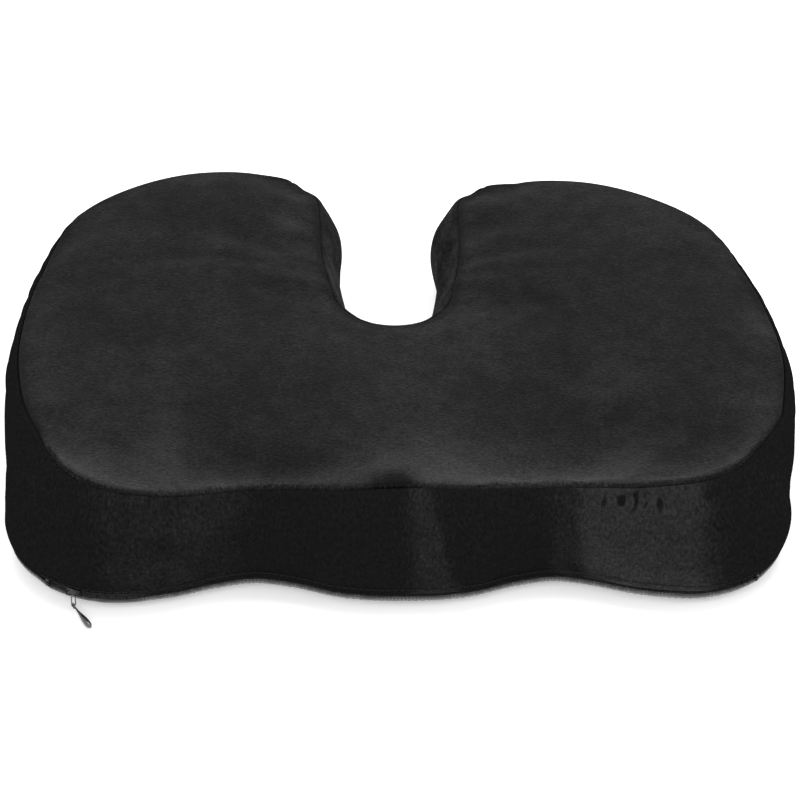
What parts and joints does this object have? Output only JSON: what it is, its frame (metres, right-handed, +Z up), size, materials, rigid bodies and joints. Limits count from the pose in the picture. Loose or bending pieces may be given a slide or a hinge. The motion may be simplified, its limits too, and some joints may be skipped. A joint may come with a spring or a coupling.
{
  "type": "seat cushion",
  "caption": "U-shaped seat cushion with a tailbone notch, moulded foam core, sewn velour cover, non-slip base cloth and a front zip with a drop-shaped pull.",
  "frame": {"origin": "on the underside, on the plane of symmetry, midway between the cushion's front edge and its notch", "axes": "+X across the seat, to the left of a sitter who faces -Y; +Y from the front edge to the open end of the notch; +Z up"},
  "size_m": [0.446, 0.3659, 0.0729],
  "materials": {
    "foam": "soft open-pored slow-recovery foam with a thin moulded skin",
    "velour": "black-grey short-pile velour, matt with a soft sheen and cloudy brushed patches",
    "base_cloth": "dark grey knitted non-slip cloth with small rubbery dots",
    "zip_tape": "black woven tape",
    "zip_coil": "black nylon coil",
    "zip_metal": "bright plated cast and formed metal",
    "thread": "black polyester sewing thread"
  },
  "bodies": {
    "cushion": {"foam_core": "foam", "top_panel": "velour", "outer_band": "velour", "notch_band": "velour", "bottom_panel": "base_cloth", "zip_tape_upper": "zip_tape", "zip_tape_lower": "zip_tape", "zip_coil_upper": "zip_coil", "zip_coil_lower": "zip_coil", "zip_stop_left_upper": "zip_metal", "zip_stop_left_lower": "zip_metal", "zip_stop_right_upper": "zip_metal", "zip_stop_right_lower": "zip_metal", "top_seam_thread": "thread", "base_seam_thread": "thread", "band_join_thread_right": "thread", "band_join_thread_left": "thread", "zip_stitch_upper": "thread", "zip_stitch_lower": "thread"},
    "slider": {"zip_slider_body": "zip_metal", "zip_slider_bail": "zip_metal"},
    "link": {"zip_pull_link": "zip_metal"},
    "tab": {"zip_pull_tab": "zip_metal"}
  },
  "joints": [
    {"name": "zip_slide", "type": "hinge", "parent": "cushion", "child": "slider", "pos_m": [-0.151, -0.0125, 0.0085], "axis": [0, 0, 1], "range_deg": [0, 28]},
    {"name": "link_swing", "type": "hinge", "parent": "slider", "child": "link", "pos_m": [-0.17496, -0.07025, 0.0085], "axis": [-0.9135, 0.4067, 0], "range_deg": [0, 85]},
    {"name": "tab_swing", "type": "hinge", "parent": "link", "child": "tab", "pos_m": [-0.17496, -0.07025, 0.002], "axis": [-0.8746, -0.4848, 0], "range_deg": [-80, 15]}
  ]
}
